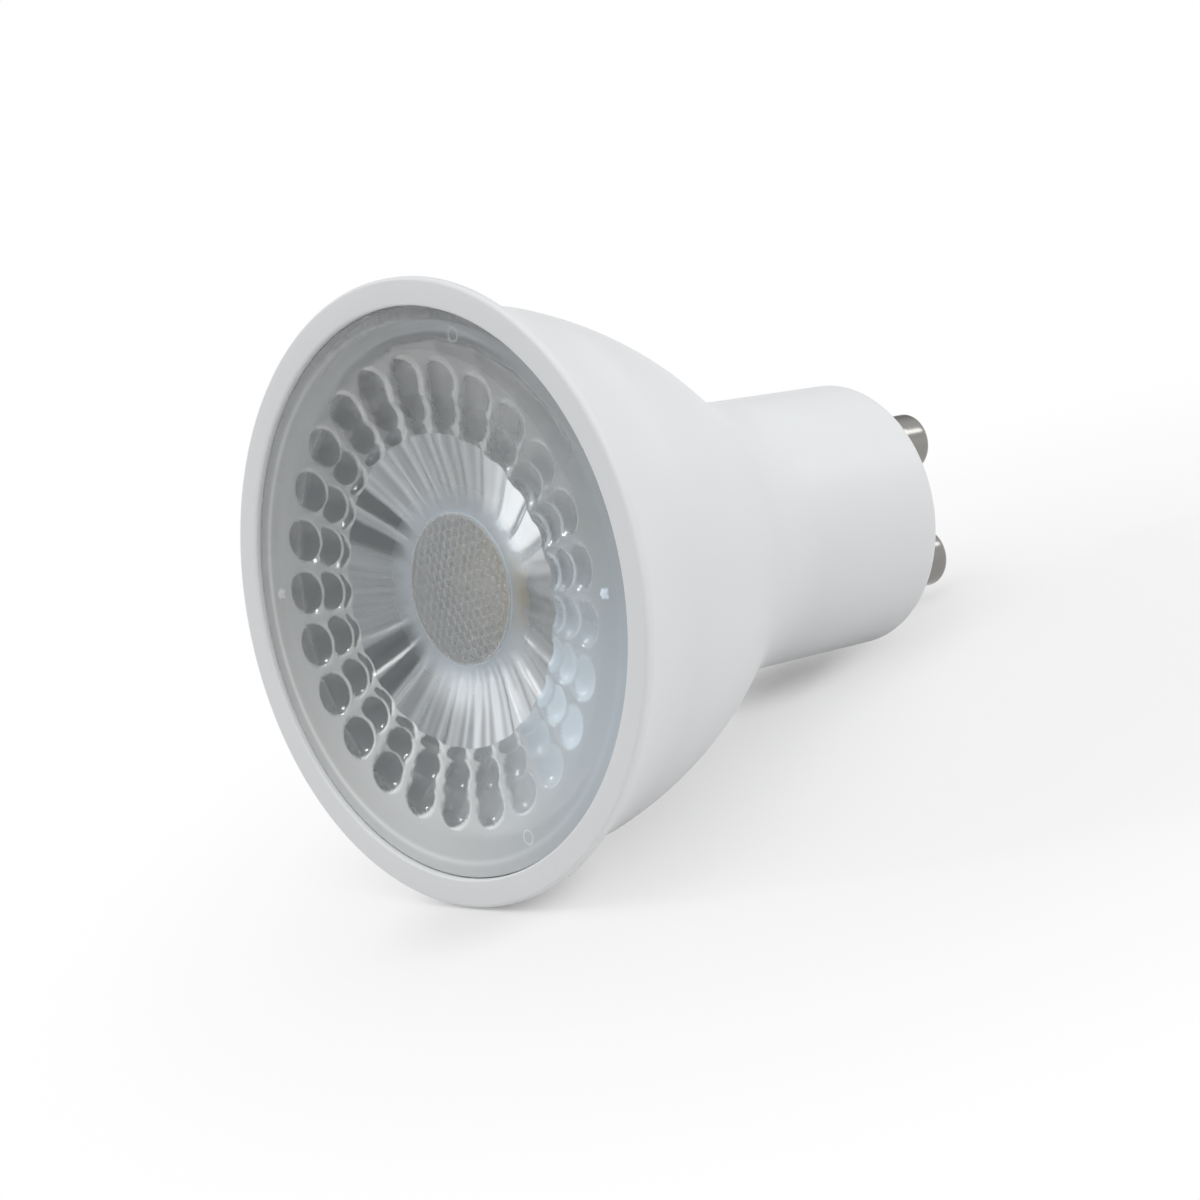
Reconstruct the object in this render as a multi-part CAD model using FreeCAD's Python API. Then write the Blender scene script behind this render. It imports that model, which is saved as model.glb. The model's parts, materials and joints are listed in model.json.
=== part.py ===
import FreeCAD, Part
import math
import os
from FreeCAD import Placement, Rotation, Vector

# A 50 mm spotlight bulb with a two-pin bayonet cap: a white bell-shaped housing, a clear collimating
# lens in its mouth, an LED on a metal board in a heat sink cup, and a small driver in the neck.
# Everything is turned about the lamp's axis first: radius from the axis, depth behind the rim's
# front plane. One placement at the end lays the lamp on its side, as it comes to rest on a table.
# Millimetres and degrees.

# Housing, outside
RIM_RADIUS = 25.0
RIM_LAND = 0.7
RIM_OUTER_ROUND = 0.3
RIM_INNER_ROUND = 0.25
FLARE_MID_RADIUS = 23.2
FLARE_MID_DEPTH = 4.0
BELL_TOP_RADIUS = 21.75
BELL_TOP_DEPTH = 9.0
BELL_MID_RADIUS = 19.24
BELL_MID_DEPTH = 16.0
BELL_END_RADIUS = 15.75
BELL_END_DEPTH = 22.0
WAIST_DEPTH = 28.3
WAIST_BLEND = 14.0
NECK_WAIST_RADIUS = 11.35
NECK_END_RADIUS = 11.1
CAP_DEPTH = 47.7
CAP_BEVEL = 2.3
CAP_EDGE_ROUND = 0.8

# Housing, inside
MOUTH_RADIUS = 22.73
LEDGE_WIDTH = 0.85
BELL_WALL = 1.9
CUP_LEDGE_WIDTH = 1.2
WAIST_WALL = 1.9
NECK_WALL = 1.65
CAP_WALL = 1.7
SLOT_DEPTH = 0.7

# Lens
LENS_RECESS = 0.5
LENS_PLATE = 2.65
LENS_GAP = 0.2
LENS_SHOULDER_GAP = 0.6
LENS_FOOT_RADIUS = 8.6
LENS_FOOT_GAP = 0.2
LENS_CONE_BULGE = 1.1
WELL_INSET = 9.93
WELL_FLOOR_RADIUS = 7.2
WELL_DEPTH = 2.6
SLOPE_INSET = 3.13
MOUTH_DROP = 1.1
PAD_RADIUS = 6.1
PAD_RISE = 0.25
CAVITY_RADIUS = 7.3
CAVITY_TOP_RADIUS = 6.2
CAVITY_ROOF = 3.6
CAVITY_DOME = 0.8
PETAL_COUNT = 25
OUTER_PETAL_INSET = 5.93
OUTER_PETAL_BALL = 4.0
OUTER_PETAL_DEPTH = 0.5
INNER_PETAL_INSET = 8.43
INNER_PETAL_BALL = 3.3
INNER_PETAL_DEPTH = 0.5
FLUTE_RADIUS = 2.0
FLUTE_DEPTH = 0.3
NUB_INSET = 2.43
NUB_RADIUS = 0.45
NUB_HEIGHT = 0.3
LENS_TURN = 4.4

# Wires
WIRE_RADIUS = 0.45
WIRE_HOLE_GAP = 0.15
SOLDER_RADIUS = 1.0
SOLDER_HEIGHT = 0.55

# LED, its board and the heat sink cup
CUP_CLEARANCE = 0.1
CUP_WALL = 1.0
CUP_FLOOR = 1.5
CUP_FLOOR_DEPTH = 14.8
CUP_RIM_GAP = 0.3
BOARD_RADIUS = 12.8
BOARD_THICKNESS = 1.2
CARRIER_SIDE = 13.5
CARRIER_THICKNESS = 1.0
CARRIER_CORNER = 1.0
DAM_RADIUS = 5.6
DAM_WIDTH = 0.6
DAM_HEIGHT = 0.6
PHOSPHOR_HEIGHT = 0.45
SCREW_CIRCLE = 10.4
SCREW_HEAD_RADIUS = 1.6
SCREW_HEAD_HEIGHT = 0.8
SCREW_SHANK_RADIUS = 0.9
SCREW_SLOT_WIDTH = 0.4
SCREW_SLOT_DEPTH = 0.35
SCREW_CLEARANCE = 0.05

# Contact pins
PIN_SPACING = 10.0
PIN_LENGTH = 7.3
PIN_HEAD_RADIUS = 2.5
PIN_HEAD_LENGTH = 3.0
PIN_HEAD_ROUND = 0.7
PIN_SHOULDER_ROUND = 0.25
PIN_NECK_RADIUS = 1.55
PIN_COLLAR_RADIUS = 2.2
PIN_COLLAR_THICKNESS = 0.7
PIN_STUB_RADIUS = 0.9
PIN_STUB_LENGTH = 0.8
PIN_CLEARANCE = 0.05
PIN_WIRE_LENGTH = 0.9

# Driver board and the thickness and width of what it carries
DRIVER_THICKNESS = 1.0
DRIVER_SIDE_CLEARANCE = 0.1
SEAT_GAP = 0.05
INPUT_CAP_RADIUS = 4.0
OUTPUT_CAP_RADIUS = 3.15
OUTPUT_CAP_OFFSET = 3.4
CAP_CRIMP_DEPTH = 0.35
CAP_CRIMP_WIDTH = 0.9
CAP_CRIMP_INSET = 1.6
CAP_EDGE = 0.4
FILM_WIDTH = 4.0
FILM_HEIGHT = 5.0
FILM_OFFSET = 4.6
INDUCTOR_HEIGHT = 7.4
INDUCTOR_FLANGE = 1.1
CHIP_WIDTH = 4.9
CHIP_HEIGHT = 1.6
BRIDGE_WIDTH = 6.4
BRIDGE_HEIGHT = 2.4
RESISTOR_WIDTH = 1.2
RESISTOR_HEIGHT = 0.5
RESISTOR_COUNT = 4
RESISTOR_OFFSET = 6.4
FUSE_RADIUS = 1.25
FUSE_ROUND = 0.4
FUSE_OFFSET = 6.4
LED_WIRE_REACH = 5.3
WIRE_INSET = 1.3
CUP_WIRE_HOLE = 1.4

# Along the driver board: starts and lengths as shares of the board's own length
INPUT_CAP_START_SHARE = 0.055
INPUT_CAP_LENGTH_SHARE = 0.5
OUTPUT_CAP_START_SHARE = 0.62
OUTPUT_CAP_LENGTH_SHARE = 0.34
FILM_START_SHARE = 0.645
FILM_LENGTH_SHARE = 0.29
INDUCTOR_START_SHARE = 0.065
INDUCTOR_LENGTH_SHARE = 0.355
INDUCTOR_CORE_SHARE = 0.172
WINDING_SHARE = 0.31
CHIP_START_SHARE = 0.49
CHIP_LENGTH_SHARE = 0.177
BRIDGE_START_SHARE = 0.71
BRIDGE_LENGTH_SHARE = 0.214
RESISTOR_START_SHARE = 0.495
RESISTOR_PITCH_SHARE = 0.118
RESISTOR_LENGTH_SHARE = 0.09
FUSE_START_SHARE = 0.655
FUSE_LENGTH_SHARE = 0.255

# How the lamp lies: turn of the pins' line from upright, about the lamp's axis
PIN_LINE_TURN = -4.0

# Depths and radii that follow from the sizes above
lens_front = LENS_RECESS
lens_back = LENS_RECESS + LENS_PLATE
lens_radius = MOUTH_RADIUS - LENS_GAP
ledge_radius = lens_radius - LEDGE_WIDTH
cup_rim_radius = ledge_radius - CUP_CLEARANCE
lens_shoulder_radius = cup_rim_radius - CUP_WALL - LENS_SHOULDER_GAP
well_mouth_radius = lens_radius - WELL_INSET
slope_start_radius = lens_radius - SLOPE_INSET
board_front = CUP_FLOOR_DEPTH - BOARD_THICKNESS
carrier_front = board_front - CARRIER_THICKNESS
lens_foot = carrier_front - LENS_FOOT_GAP
cup_back = CUP_FLOOR_DEPTH + CUP_FLOOR
neck_bore = NECK_END_RADIUS - NECK_WALL
cap_inside = CAP_DEPTH - CAP_WALL
bevel_start = CAP_DEPTH - CAP_BEVEL
cup_seat_radius = BELL_MID_RADIUS - BELL_WALL
waist_bore_depth = WAIST_DEPTH - WAIST_WALL
pin_tip = CAP_DEPTH + PIN_LENGTH
head_middle = pin_tip - PIN_HEAD_LENGTH / 2
stub_end = cap_inside - PIN_COLLAR_THICKNESS - PIN_STUB_LENGTH
driver_end = stub_end - PIN_WIRE_LENGTH
driver_start = cup_back + LED_WIRE_REACH
driver_length = driver_end - driver_start
driver_half_width = neck_bore + SLOT_DEPTH - DRIVER_SIDE_CLEARANCE
driver_face = DRIVER_THICKNESS / 2
inductor_radius = driver_length * INDUCTOR_LENGTH_SHARE / 2
inductor_core_radius = driver_length * INDUCTOR_CORE_SHARE / 2
winding_radius = driver_length * WINDING_SHARE / 2
wire_offset = driver_half_width - WIRE_INSET

AXIS = Vector(0, 0, 1)
CENTRE = Vector(0, 0, 0)
SIDEWAYS = Vector(0, -1, 0)


# Small helpers for turned shapes
def point(radius, depth):
    """A point of a half section, at a radius from the axis and a depth behind the rim."""
    return Vector(radius, 0, depth)


def line(start, end):
    """A straight edge of a half section."""
    return Part.LineSegment(point(*start), point(*end)).toShape()


def arc(start, middle, end):
    """A circular edge of a half section through three points."""
    return Part.Arc(point(*start), point(*middle), point(*end)).toShape()


def lines(*stops):
    """Straight edges from stop to stop."""
    return [line(a, b) for a, b in zip(stops, stops[1:])]


def turned(edges):
    """The solid that a closed half section makes, turned about the lamp's axis."""
    face = Part.Face(Part.Wire(edges))
    return face.revolve(CENTRE, AXIS, 360)


def turned_polygon(*stops):
    """The solid turned from a closed half section of straight edges."""
    return turned(lines(*stops, stops[0]))


def round_corner(before, corner, after, radius):
    """Start, middle and end of an arc that rounds a corner of a half section, and the arc's centre."""
    c = Vector(corner[0], corner[1], 0)
    to_before = (Vector(before[0], before[1], 0) - c).normalize()
    to_after = (Vector(after[0], after[1], 0) - c).normalize()
    half = to_before.getAngle(to_after) / 2
    inward = (to_before + to_after).normalize()
    reach = radius / math.tan(half)
    centre = c + inward * (radius / math.sin(half))
    stops = (c + to_before * reach, centre - inward * radius, c + to_after * reach, centre)
    return [(stop.x, stop.y) for stop in stops]


def bulged(start, end, bulge):
    """A circular edge from start to end whose middle stands off the straight line, to its left."""
    along = Vector(end[0] - start[0], end[1] - start[1], 0).normalize()
    middle = ((start[0] + end[0]) / 2 + along.y * bulge, (start[1] + end[1]) / 2 - along.x * bulge)
    return arc(start, middle, end)


def ball_cap(radius, rim_depth, top_depth):
    """The edge of a ball's cap, from its rim to its top on the axis."""
    height = rim_depth - top_depth
    ball = (radius ** 2 + height ** 2) / (2 * height)
    half_way = ball - math.sqrt(ball ** 2 - (radius / 2) ** 2)
    return arc((radius, rim_depth), (radius / 2, top_depth + half_way), (0, top_depth))


def cylinder(x, y, start, end, radius):
    """A round bar along the lamp's axis at (x, y), from one depth to another."""
    return Part.makeCylinder(radius, end - start, Vector(x, y, start), AXIS)


def block(size, x, y, start):
    """A box centred on x, standing from y, from a depth backwards."""
    return Part.makeBox(*size, Vector(x - size[0] / 2, y, start))


def around(shape, angle):
    """A copy of a shape turned about the lamp's axis."""
    return shape.rotated(CENTRE, AXIS, angle)


# Housing: bell and neck in one moulding
mouth_edge = round_corner((RIM_RADIUS, 0), (MOUTH_RADIUS, 0), (MOUTH_RADIUS, lens_back), RIM_INNER_ROUND)
bevel_corner = (NECK_END_RADIUS, bevel_start)
cap_face_edge = (NECK_END_RADIUS - CAP_BEVEL, CAP_DEPTH)


def cap_edge_arc():
    """The rounded edge between the neck and the cap's bevel, one of the two places the lamp lies on."""
    waist = (NECK_WAIST_RADIUS, WAIST_DEPTH)
    return round_corner(waist, bevel_corner, cap_face_edge, CAP_EDGE_ROUND)


def rim_and_bell_edges():
    """The outer section from the rim's front face to the bevelled cap: flare, bell, waist, neck, bevel."""
    rim = round_corner((MOUTH_RADIUS, 0), (RIM_RADIUS, 0), (RIM_RADIUS, RIM_LAND), RIM_OUTER_ROUND)
    bell_top = (BELL_TOP_RADIUS, BELL_TOP_DEPTH)
    bell_end = (BELL_END_RADIUS, BELL_END_DEPTH)
    waist = round_corner(bell_end, (NECK_WAIST_RADIUS, WAIST_DEPTH), bevel_corner, WAIST_BLEND)
    edge = cap_edge_arc()
    return [
        line(mouth_edge[0], rim[0]),
        arc(*rim[:3]),
        line(rim[2], (RIM_RADIUS, RIM_LAND)),
        arc((RIM_RADIUS, RIM_LAND), (FLARE_MID_RADIUS, FLARE_MID_DEPTH), bell_top),
        arc(bell_top, (BELL_MID_RADIUS, BELL_MID_DEPTH), bell_end),
        line(bell_end, waist[0]),
        arc(*waist[:3]),
        line(waist[2], edge[0]),
        arc(*edge[:3]),
        line(edge[2], cap_face_edge),
        line(cap_face_edge, (0, CAP_DEPTH)),
    ]


def inside_edges():
    """The inner section from the cap's wall forward: neck bore, waist cone, cup seat, lens ledge, mouth."""
    stops = lines(
        (0, CAP_DEPTH),
        (0, cap_inside),
        (neck_bore, cap_inside),
        (neck_bore, waist_bore_depth),
        (cup_seat_radius - CUP_LEDGE_WIDTH, cup_back),
        (cup_seat_radius, cup_back),
        (ledge_radius, lens_back),
        (MOUTH_RADIUS, lens_back),
        mouth_edge[2],
    )
    return stops + [arc(mouth_edge[2], mouth_edge[1], mouth_edge[0])]


def pin_places():
    """The two pins' distances from the axis, along their line."""
    return (-PIN_SPACING / 2, PIN_SPACING / 2)


def make_housing():
    """Bell and neck turned as one shell, with the pin holes and the slots that hold the driver board."""
    shell = turned(rim_and_bell_edges() + inside_edges())
    slot_height = DRIVER_THICKNESS + 2 * DRIVER_SIDE_CLEARANCE
    slot_half_width = driver_half_width + DRIVER_SIDE_CLEARANCE
    slot_size = (2 * slot_half_width, slot_height, cap_inside - driver_start)
    shell = shell.cut(block(slot_size, 0, -slot_height / 2, driver_start))
    for x in pin_places():
        shell = shell.cut(cylinder(x, 0, cap_inside, CAP_DEPTH, PIN_NECK_RADIUS + PIN_CLEARANCE))
    return shell


# Lens: one clear moulding with dished petals, a fluted well and a cavity over the LED
def lens_body():
    """The lens without its petals and flutes, turned from its half section."""
    well_floor = lens_front + WELL_DEPTH
    pad_top = well_floor - PAD_RISE
    roof = pad_top + CAVITY_ROOF
    shoulder = (lens_shoulder_radius, lens_back)
    foot = (LENS_FOOT_RADIUS, lens_foot)
    cavity_top = (CAVITY_TOP_RADIUS, roof + CAVITY_DOME)
    front = lines(
        (0, pad_top),
        (PAD_RADIUS, pad_top),
        (PAD_RADIUS, well_floor),
        (WELL_FLOOR_RADIUS, well_floor),
        (well_mouth_radius, lens_front + MOUTH_DROP),
        (slope_start_radius, lens_front),
        (lens_radius, lens_front),
        (lens_radius, lens_back),
        shoulder,
    )
    back = [bulged(shoulder, foot, LENS_CONE_BULGE)]
    back += lines(foot, (CAVITY_RADIUS, lens_foot), cavity_top)
    back += [ball_cap(*cavity_top, roof), line((0, roof), (0, pad_top))]
    return turned(front + back)


def petal_ball(inset, ball, depth):
    """A ball that dishes one half of a petal into the slope between plate and well, to a depth."""
    radius = lens_radius - inset
    share = (slope_start_radius - radius) / (slope_start_radius - well_mouth_radius)
    ground = lens_front + MOUTH_DROP * share
    return Part.makeSphere(ball, point(radius, ground + depth - ball), SIDEWAYS)


def flute_cutter():
    """A round bar laid along the well's wall, sunk in by the flute's depth and run out past the mouth."""
    down_wall = Vector(WELL_FLOOR_RADIUS - well_mouth_radius, 0, WELL_DEPTH - MOUTH_DROP)
    length = down_wall.Length - FLUTE_DEPTH + FLUTE_RADIUS
    down_wall.normalize()
    off_wall = Vector(-down_wall.z, 0, down_wall.x)
    mouth = point(well_mouth_radius, lens_front + MOUTH_DROP) + off_wall * (FLUTE_RADIUS - FLUTE_DEPTH)
    return Part.makeCylinder(FLUTE_RADIUS, length, mouth - down_wall * FLUTE_RADIUS, down_wall)


def make_lens():
    """The clear lens with its ring of dished petals, the fluted well and two small nubs."""
    lens = lens_body()
    turns = [360 * i / PETAL_COUNT for i in range(PETAL_COUNT)]
    lens = lens.cut([around(flute_cutter(), turn) for turn in turns])
    for ball in (
        petal_ball(OUTER_PETAL_INSET, OUTER_PETAL_BALL, OUTER_PETAL_DEPTH),
        petal_ball(INNER_PETAL_INSET, INNER_PETAL_BALL, INNER_PETAL_DEPTH),
    ):
        lens = lens.cut([around(ball, turn) for turn in turns])
    nub = cylinder(lens_radius - NUB_INSET, 0, lens_front - NUB_HEIGHT, lens_front, NUB_RADIUS)
    lens = lens.fuse([nub, around(nub, 180)])
    return around(lens, 90 + LENS_TURN)


# Heat sink cup, LED board and LED
def make_heat_sink_cup():
    """A turned cup that lines the bell, with holes for the wires and the board's screws."""
    slope = (ledge_radius - cup_seat_radius) / (cup_back - lens_back)
    rim_depth = lens_back + CUP_RIM_GAP
    rim_radius = cup_rim_radius - slope * CUP_RIM_GAP
    floor_radius = cup_seat_radius + slope * CUP_FLOOR - CUP_CLEARANCE
    foot_radius = cup_seat_radius - CUP_CLEARANCE
    cup = turned_polygon(
        (0, CUP_FLOOR_DEPTH),
        (floor_radius - CUP_WALL, CUP_FLOOR_DEPTH),
        (rim_radius - CUP_WALL, rim_depth),
        (rim_radius, rim_depth),
        (foot_radius, cup_back),
        (0, cup_back),
    )
    for x in (-wire_offset, wire_offset):
        cup = cup.cut(cylinder(x, 0, CUP_FLOOR_DEPTH, cup_back, CUP_WIRE_HOLE))
    for y in (-SCREW_CIRCLE, SCREW_CIRCLE):
        hole = cylinder(0, y, CUP_FLOOR_DEPTH, cup_back, SCREW_SHANK_RADIUS + SCREW_CLEARANCE)
        cup = cup.cut(hole)
    return cup


def make_led_board():
    """The round metal-core board that carries the LED."""
    board = cylinder(0, 0, board_front, CUP_FLOOR_DEPTH, BOARD_RADIUS)
    for x in (-wire_offset, wire_offset):
        board = board.cut(cylinder(x, 0, board_front, CUP_FLOOR_DEPTH, WIRE_RADIUS + WIRE_HOLE_GAP))
    for y in (-SCREW_CIRCLE, SCREW_CIRCLE):
        hole = cylinder(0, y, board_front, CUP_FLOOR_DEPTH, SCREW_SHANK_RADIUS + SCREW_CLEARANCE)
        board = board.cut(hole)
    return board


def make_screws():
    """Two slotted cheese-head screws that hold the LED board to the cup."""
    head_top = board_front - SCREW_HEAD_HEIGHT
    screws = []
    for y in (-SCREW_CIRCLE, SCREW_CIRCLE):
        head = cylinder(0, y, head_top, board_front, SCREW_HEAD_RADIUS)
        shank = cylinder(0, y, board_front, cup_back, SCREW_SHANK_RADIUS)
        slot = block((2 * SCREW_HEAD_RADIUS, SCREW_SLOT_WIDTH, SCREW_SLOT_DEPTH),
                     0, y - SCREW_SLOT_WIDTH / 2, head_top)
        screws.append(head.fuse(shank).cut(slot))
    return Part.makeCompound(screws)


def make_led_carrier():
    """The LED's square ceramic carrier with rounded corners."""
    half = CARRIER_SIDE / 2
    plate = Part.makeBox(CARRIER_SIDE, CARRIER_SIDE, CARRIER_THICKNESS, Vector(-half, -half, carrier_front))
    upright = [e for e in plate.Edges if abs(e.tangentAt(e.FirstParameter).z) > 0.9]
    return plate.makeFillet(CARRIER_CORNER, upright)


def make_led_dam():
    """The white ring round the LED's lit area."""
    inner = DAM_RADIUS - DAM_WIDTH
    top = carrier_front - DAM_HEIGHT
    return turned_polygon(
        (inner, top),
        (DAM_RADIUS, top),
        (DAM_RADIUS, carrier_front),
        (inner, carrier_front),
    )


def make_led_phosphor():
    """The yellow disc of phosphor inside the dam."""
    return cylinder(0, 0, carrier_front - PHOSPHOR_HEIGHT, carrier_front, DAM_RADIUS - DAM_WIDTH)


# Contact pins
def make_contact_pin(x):
    """A turned pin: rounded head, narrow neck through the cap, collar inside and a stub for its wire."""
    head_start = pin_tip - PIN_HEAD_LENGTH
    tip_corner = (PIN_HEAD_RADIUS, pin_tip)
    back_corner = (PIN_HEAD_RADIUS, head_start)
    tip = round_corner((0, pin_tip), tip_corner, back_corner, PIN_HEAD_ROUND)
    shoulder = round_corner(tip_corner, back_corner, (PIN_NECK_RADIUS, head_start), PIN_SHOULDER_ROUND)
    collar_front = cap_inside - PIN_COLLAR_THICKNESS
    section = [line((0, pin_tip), tip[0]), arc(*tip[:3]), line(tip[2], shoulder[0]), arc(*shoulder[:3])]
    section += lines(
        shoulder[2],
        (PIN_NECK_RADIUS, head_start),
        (PIN_NECK_RADIUS, cap_inside),
        (PIN_COLLAR_RADIUS, cap_inside),
        (PIN_COLLAR_RADIUS, collar_front),
        (PIN_STUB_RADIUS, collar_front),
        (PIN_STUB_RADIUS, stub_end),
        (0, stub_end),
        (0, pin_tip),
    )
    return turned(section).translated(Vector(x, 0, 0))


def make_pin_wire(x):
    """The short lead from the driver board's edge to a pin's stub."""
    return cylinder(x, 0, driver_end, stub_end, WIRE_RADIUS)


# Driver
def make_driver_board():
    """The driver's board, held by its long edges in the neck's slots."""
    size = (2 * driver_half_width, DRIVER_THICKNESS, driver_length)
    return block(size, 0, -driver_face, driver_start)


def along_board(share):
    """The depth of a place along the driver board, from a share of its length."""
    return driver_start + driver_length * share


def make_can(radius, length, x, start):
    """A can capacitor lying on the driver board, with its crimp groove and a rounded end."""
    length = driver_length * length
    tube = Part.makeCylinder(radius, length, CENTRE, AXIS)
    tube = tube.makeFillet(CAP_EDGE, [tube.Edges[0]])
    groove = Part.makeTorus(radius + CAP_CRIMP_WIDTH / 2 - CAP_CRIMP_DEPTH, CAP_CRIMP_WIDTH / 2,
                            Vector(0, 0, length - CAP_CRIMP_INSET), AXIS)
    can = tube.cut(groove)
    return can.translated(Vector(x, driver_face + SEAT_GAP + radius, along_board(start)))


def make_film_capacitor():
    """The boxed film capacitor across the mains input."""
    size = (FILM_WIDTH, FILM_HEIGHT, driver_length * FILM_LENGTH_SHARE)
    return block(size, FILM_OFFSET, driver_face + SEAT_GAP, along_board(FILM_START_SHARE))


def inductor_centre():
    """The foot of the inductor's own axis, on the back of the driver board."""
    return Vector(0, -driver_face - SEAT_GAP, along_board(INDUCTOR_START_SHARE) + inductor_radius)


def stood(shape):
    """Stands a turned shape on the back of the driver board, at the inductor's place."""
    return shape.rotated(CENTRE, Vector(1, 0, 0), 90).translated(inductor_centre())


def make_inductor_core():
    """The ferrite drum of the inductor."""
    top = INDUCTOR_HEIGHT - INDUCTOR_FLANGE
    drum = turned_polygon(
        (0, 0),
        (inductor_radius, 0),
        (inductor_radius, INDUCTOR_FLANGE),
        (inductor_core_radius, INDUCTOR_FLANGE),
        (inductor_core_radius, top),
        (inductor_radius, top),
        (inductor_radius, INDUCTOR_HEIGHT),
        (0, INDUCTOR_HEIGHT),
    )
    return stood(drum)


def make_inductor_winding():
    """The copper winding between the drum's flanges."""
    low = INDUCTOR_FLANGE + SEAT_GAP
    high = INDUCTOR_HEIGHT - INDUCTOR_FLANGE - SEAT_GAP
    inner = inductor_core_radius + SEAT_GAP
    return stood(turned_polygon((inner, low), (winding_radius, low), (winding_radius, high), (inner, high)))


def under_board(width, height, length, x, start):
    """A flat-backed part on the back of the driver board."""
    size = (width, height, driver_length * length)
    return block(size, x, -driver_face - SEAT_GAP - height, along_board(start))


def make_sense_resistors():
    """A row of chip resistors beside the driver chip."""
    row = []
    for i in range(RESISTOR_COUNT):
        start = RESISTOR_START_SHARE + i * RESISTOR_PITCH_SHARE
        row.append(
            under_board(RESISTOR_WIDTH, RESISTOR_HEIGHT, RESISTOR_LENGTH_SHARE, RESISTOR_OFFSET, start)
        )
    return Part.makeCompound(row)


def make_fusible_resistor():
    """The fusible resistor in the mains input, lying along the board."""
    body = Part.makeCylinder(FUSE_RADIUS, driver_length * FUSE_LENGTH_SHARE, CENTRE, AXIS)
    body = body.makeFillet(FUSE_ROUND, [e for e in body.Edges if e.Closed])
    place = Vector(-FUSE_OFFSET, -driver_face - SEAT_GAP - FUSE_RADIUS, along_board(FUSE_START_SHARE))
    return body.translated(place)


def make_led_wire(x):
    """A lead from the driver board's front edge through cup and LED board, with its solder on the front."""
    wire = cylinder(x, 0, board_front, driver_start, WIRE_RADIUS)
    top = board_front - SOLDER_HEIGHT
    section = lines((0, top), (0, board_front), (SOLDER_RADIUS, board_front))
    section.append(ball_cap(SOLDER_RADIUS, board_front, top))
    solder = turned(section).translated(Vector(x, 0, 0))
    return wire.fuse(solder)


# Lying at rest: the floor touches the rim's land and the rounded edge where the neck meets its bevel
def rest_tilt():
    """Angle between the lamp's axis and the floor, from the two round edges that the lamp lies on."""
    back_radius, back_depth = cap_edge_arc()[3]
    run = back_depth - RIM_LAND
    drop = RIM_RADIUS - back_radius
    reach = math.hypot(run, drop)
    return math.degrees(math.atan2(drop, run) - math.asin(CAP_EDGE_ROUND / reach))


def laid(shape):
    """Lays a turned shape on its side: lens to the front and a little up, origin between the pin heads."""
    to_origin = Placement(Vector(0, 0, -head_middle), Rotation(AXIS, 0))
    roll = Placement(CENTRE, Rotation(AXIS, 90 + PIN_LINE_TURN))
    tip_over = Placement(CENTRE, Rotation(Vector(1, 0, 0), -90 - rest_tilt()))
    shape = shape.copy()
    shape.Placement = tip_over * roll * to_origin * shape.Placement
    return shape


left_pin, right_pin = pin_places()

PIECES = {
    "housing": make_housing(),
    "lens": make_lens(),
    "heat_sink_cup": make_heat_sink_cup(),
    "led_board": make_led_board(),
    "led_board_screws": make_screws(),
    "led_carrier": make_led_carrier(),
    "led_dam": make_led_dam(),
    "led_phosphor": make_led_phosphor(),
    "contact_pin_left": make_contact_pin(left_pin),
    "contact_pin_right": make_contact_pin(right_pin),
    "pin_wire_left": make_pin_wire(left_pin),
    "pin_wire_right": make_pin_wire(right_pin),
    "driver_board": make_driver_board(),
    "input_capacitor": make_can(INPUT_CAP_RADIUS, INPUT_CAP_LENGTH_SHARE, 0, INPUT_CAP_START_SHARE),
    "output_capacitor": make_can(
        OUTPUT_CAP_RADIUS, OUTPUT_CAP_LENGTH_SHARE, -OUTPUT_CAP_OFFSET, OUTPUT_CAP_START_SHARE
    ),
    "film_capacitor": make_film_capacitor(),
    "inductor_core": make_inductor_core(),
    "inductor_winding": make_inductor_winding(),
    "driver_chip": under_board(CHIP_WIDTH, CHIP_HEIGHT, CHIP_LENGTH_SHARE, 0, CHIP_START_SHARE),
    "bridge_rectifier": under_board(
        BRIDGE_WIDTH, BRIDGE_HEIGHT, BRIDGE_LENGTH_SHARE, 0, BRIDGE_START_SHARE
    ),
    "sense_resistors": make_sense_resistors(),
    "fusible_resistor": make_fusible_resistor(),
    "led_wire_positive": make_led_wire(-wire_offset),
    "led_wire_negative": make_led_wire(wire_offset),
}

os.makedirs("parts", exist_ok=True)
for name, shape in PIECES.items():
    laid(shape).exportStep(f"parts/{name}.step")
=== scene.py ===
import json
import math

import bpy
import numpy as np
from bpy.props import FloatProperty, FloatVectorProperty, IntProperty, PointerProperty
from mathutils import Matrix, Vector


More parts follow.
